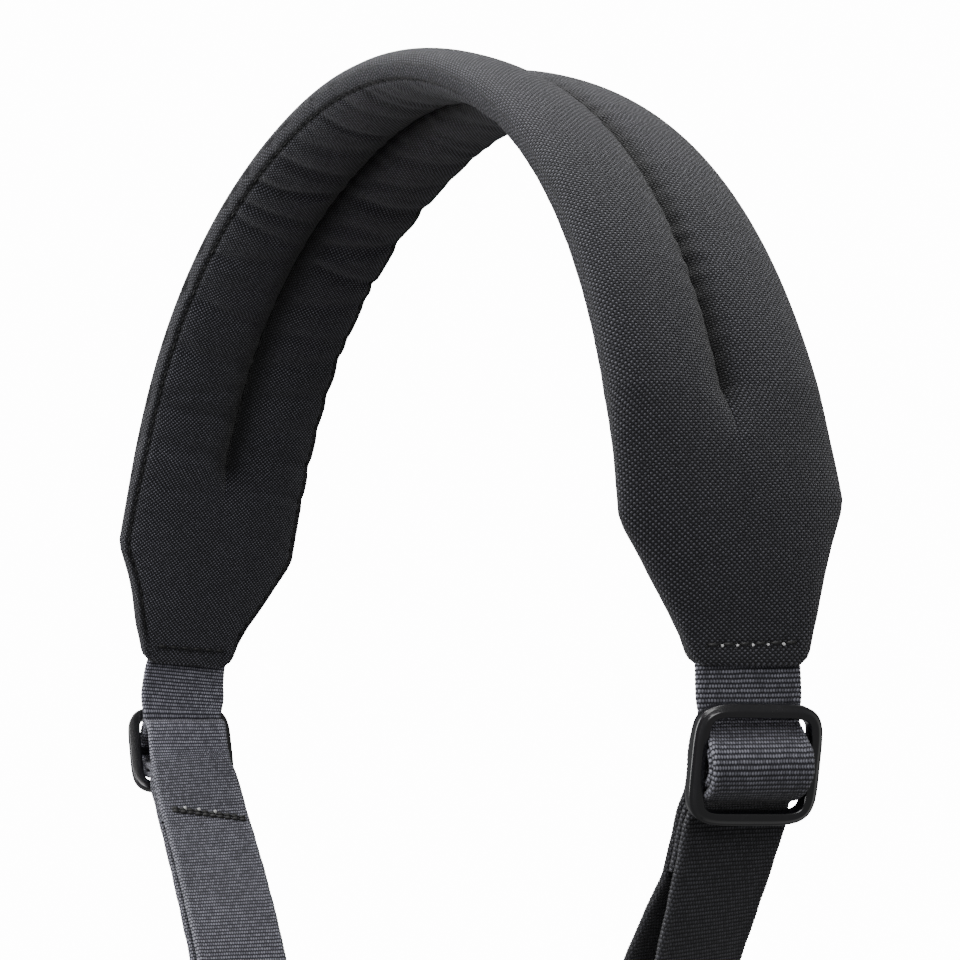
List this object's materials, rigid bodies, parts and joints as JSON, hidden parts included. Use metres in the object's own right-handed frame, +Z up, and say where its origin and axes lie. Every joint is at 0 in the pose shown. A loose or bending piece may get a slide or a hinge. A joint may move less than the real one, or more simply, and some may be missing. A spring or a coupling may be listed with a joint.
{
  "type": "camera neck strap",
  "caption": "Padded camera neck strap held as it hangs on a neck: curved two-lobe pad, webbing legs, length slides and end rings.",
  "frame": {"origin": "top of the neck opening, on the inner face of the pad at its middle", "axes": "+Z up, the arch of the strap in the XZ plane with its right leg at +X, the strap's width along Y"},
  "size_m": [0.2667, 0.0641, 0.3732],
  "materials": {
    "outer_cloth": "charcoal plain weave",
    "inner_cloth": "fine charcoal weave",
    "webbing": "ribbed charcoal webbing",
    "black_metal": "satin black"
  },
  "bodies": {
    "root": {"pad_outer": "outer_cloth", "pad_inner": "inner_cloth", "webbing_right": "webbing", "webbing_left": "webbing", "slide_right": "black_metal", "slide_left": "black_metal", "ring_right": "black_metal", "ring_left": "black_metal"}
  },
  "joints": []
}
